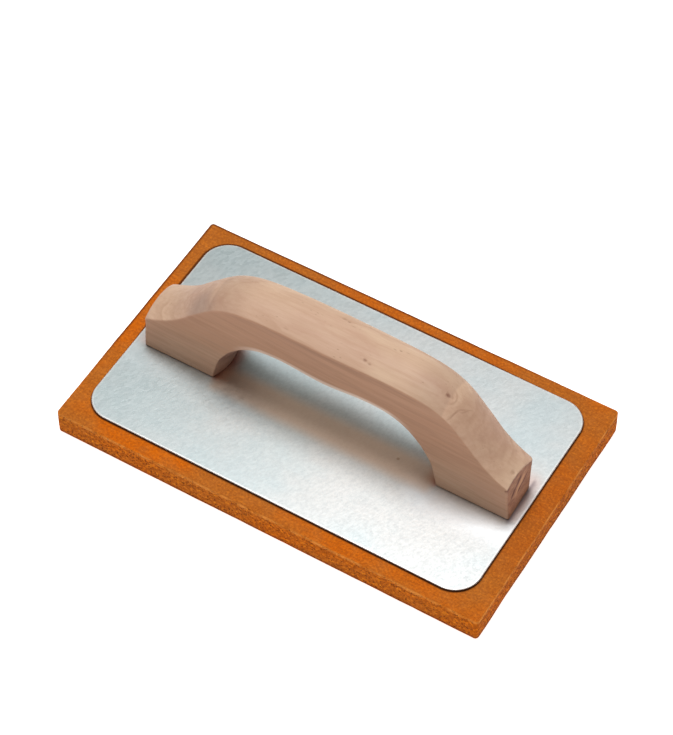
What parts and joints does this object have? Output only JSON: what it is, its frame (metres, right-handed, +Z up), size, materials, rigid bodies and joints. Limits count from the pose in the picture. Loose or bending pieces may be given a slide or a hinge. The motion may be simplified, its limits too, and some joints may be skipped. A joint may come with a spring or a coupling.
{
  "type": "sponge rubber hand float",
  "caption": "Hand float: cellular rubber pad under a thin round-cornered metal plate, with a bowed wooden bridge handle screwed on from below.",
  "frame": {"origin": "middle of the pad's underside, the working face", "axes": "+X along the length, +Y across the width, +Z up from the working face to the handle"},
  "size_m": [0.24, 0.144, 0.0829],
  "materials": {
    "sponge_rubber": "orange closed-cell sponge rubber, open pores on the cut sides, dull",
    "adhesive": "thin dark film of contact adhesive",
    "plate_metal": "bare sheet, finely mottled and satin",
    "beech": "unfinished pale beech, sanded",
    "screw_steel": "zinc plated steel"
  },
  "bodies": {
    "root": {"sponge_rubber_pad": "sponge_rubber", "adhesive_film": "adhesive", "backing_plate": "plate_metal", "wood_handle": "beech", "screw_1": "screw_steel", "screw_2": "screw_steel", "screw_3": "screw_steel", "screw_4": "screw_steel"}
  },
  "joints": []
}
